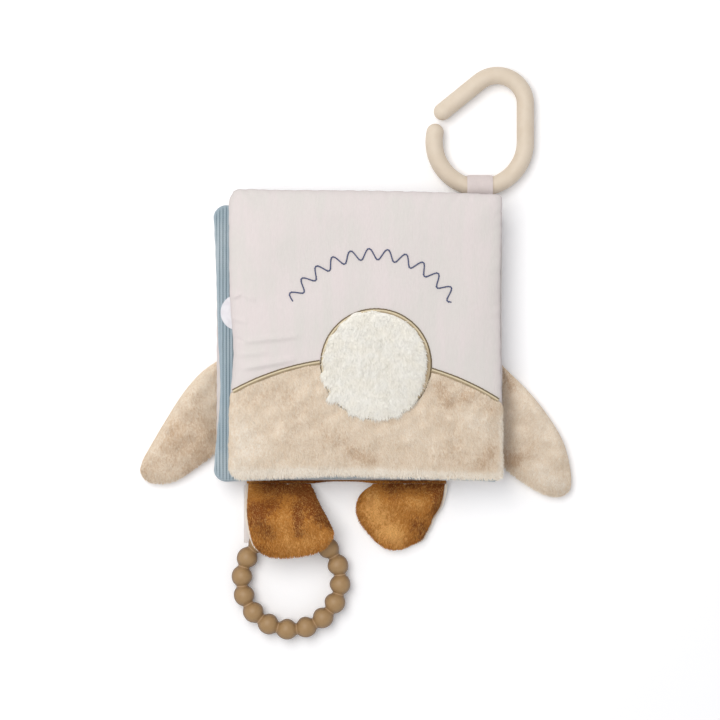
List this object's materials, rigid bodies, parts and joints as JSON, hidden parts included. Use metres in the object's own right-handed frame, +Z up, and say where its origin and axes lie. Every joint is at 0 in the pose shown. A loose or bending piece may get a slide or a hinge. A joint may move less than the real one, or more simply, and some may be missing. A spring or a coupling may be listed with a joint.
{
  "type": "crinkle cloth book",
  "caption": "Soft baby book of padded cloth leaves on one spine, with stuffed wings and feet, a beaded teether ring and an open pram ring.",
  "frame": {"origin": "middle of the underside of the box round the whole book as it lies closed with its back cover up", "axes": "+X from the leaves' free edges to the spine, +Y from the feet to the pram ring, +Z up out of the back cover"},
  "size_m": [0.2374, 0.3138, 0.0355],
  "materials": {
    "beige_plush": "short minky plush",
    "pale_cotton": "plain woven cotton, slight wrinkles",
    "blue_rib_knit": "vertical rib knit",
    "rust_plush": "short crushed plush",
    "white_sherpa": "curly sherpa pile",
    "gold_satin_stitch": "satin stitch in lustrous thread",
    "white_satin": "smooth satin",
    "taupe_silicone": "matt silicone",
    "sand_plastic": "fine matt moulded plastic",
    "label_tape": "woven label tape, left blank",
    "crinkle_film": "thin crackling film, sealed inside",
    "polyester_wadding": "polyester wadding, sealed inside"
  },
  "bodies": {
    "front_cover": {"front_cover_outer_face": "beige_plush", "front_cover_inner_face": "pale_cotton", "front_cover_crinkle_film": "crinkle_film", "front_cover_wadding": "polyester_wadding", "feet_band": "rust_plush", "spine_strip_lower": "pale_cotton"},
    "pale_leaf": {"pale_leaf_lower_face": "pale_cotton", "pale_leaf_upper_face": "pale_cotton", "pale_leaf_crinkle_film": "crinkle_film", "pale_leaf_wadding": "polyester_wadding", "spine_strip_middle": "pale_cotton"},
    "rib_leaf": {"rib_leaf_lower_face": "blue_rib_knit", "rib_leaf_upper_face": "blue_rib_knit", "rib_leaf_crinkle_film": "crinkle_film", "rib_leaf_wadding": "polyester_wadding", "white_satin_tab": "white_satin", "spine_strip_upper": "pale_cotton"},
    "back_cover": {"back_cover_cotton_panel": "pale_cotton", "back_cover_plush_hill": "beige_plush", "back_cover_inner_face": "pale_cotton", "back_cover_crinkle_film": "crinkle_film", "back_cover_wadding": "polyester_wadding", "tail_sherpa_disc": "white_sherpa", "tail_satin_stitch": "gold_satin_stitch", "hill_stitch_left": "gold_satin_stitch", "hill_stitch_right": "gold_satin_stitch"},
    "left_wing": {"left_wing_plush": "beige_plush", "left_wing_lining": "beige_plush", "left_wing_stuffing": "polyester_wadding"},
    "right_wing": {"right_wing_plush": "beige_plush", "right_wing_lining": "beige_plush", "right_wing_stuffing": "polyester_wadding"},
    "left_foot": {"left_foot_plush": "rust_plush", "left_foot_lining": "pale_cotton", "left_foot_stuffing": "polyester_wadding"},
    "right_foot": {"right_foot_plush": "rust_plush", "right_foot_lining": "pale_cotton", "right_foot_stuffing": "polyester_wadding"},
    "teether_strap": {"teether_strap": "pale_cotton", "blank_care_label": "label_tape"},
    "teether_ring": {"teether_ring": "taupe_silicone"},
    "clip_tab": {"clip_tab": "pale_cotton"},
    "clip_ring": {"clip_ring": "sand_plastic"}
  },
  "joints": [
    {"name": "pale_leaf_turn", "type": "hinge", "parent": "front_cover", "child": "pale_leaf", "pos_m": [0.07927, 0.0056, 0.0115], "axis": [0, -1, 0], "range_deg": [-85, 0]},
    {"name": "rib_leaf_turn", "type": "hinge", "parent": "pale_leaf", "child": "rib_leaf", "pos_m": [0.07927, 0.0056, 0.0182], "axis": [0, -1, 0], "range_deg": [-85, 0]},
    {"name": "back_cover_turn", "type": "hinge", "parent": "rib_leaf", "child": "back_cover", "pos_m": [0.07927, 0.0056, 0.0264], "axis": [0, 1, 0], "range_deg": [0, 170]},
    {"name": "left_wing_swing", "type": "hinge", "parent": "front_cover", "child": "left_wing", "pos_m": [-0.07453, -0.02838, 0.004], "axis": [0, 1, 0], "range_deg": [-60, 40]},
    {"name": "right_wing_swing", "type": "hinge", "parent": "front_cover", "child": "right_wing", "pos_m": [0.07957, -0.02838, 0.004], "axis": [0, -1, 0], "range_deg": [-60, 20]},
    {"name": "left_foot_swing", "type": "hinge", "parent": "front_cover", "child": "left_foot", "pos_m": [-0.0361, -0.07245, 0.0052], "axis": [-1, 0, 0], "range_deg": [0, 35]},
    {"name": "right_foot_swing", "type": "hinge", "parent": "front_cover", "child": "right_foot", "pos_m": [0.02531, -0.07245, 0.004], "axis": [-1, 0, 0], "range_deg": [-60, 45]},
    {"name": "teether_strap_swing", "type": "hinge", "parent": "front_cover", "child": "teether_strap", "pos_m": [-0.0355, -0.07245, 0.0014], "axis": [-1, 0, 0], "range_deg": [-70, 0]},
    {"name": "teether_ring_spin", "type": "hinge", "parent": "teether_strap", "child": "teether_ring", "pos_m": [-0.0355, -0.12425, 0.00675], "axis": [0, 0, 1], "continuous": true},
    {"name": "clip_tab_swing", "type": "hinge", "parent": "front_cover", "child": "clip_tab", "pos_m": [0.06787, 0.08475, 0.004], "axis": [1, 0, 0], "range_deg": [-60, 40]},
    {"name": "clip_ring_slide", "type": "hinge", "parent": "clip_tab", "child": "clip_ring", "pos_m": [0.06787, 0.11585, 0.0058], "axis": [0, 0, 1], "range_deg": [-35, 35]}
  ]
}
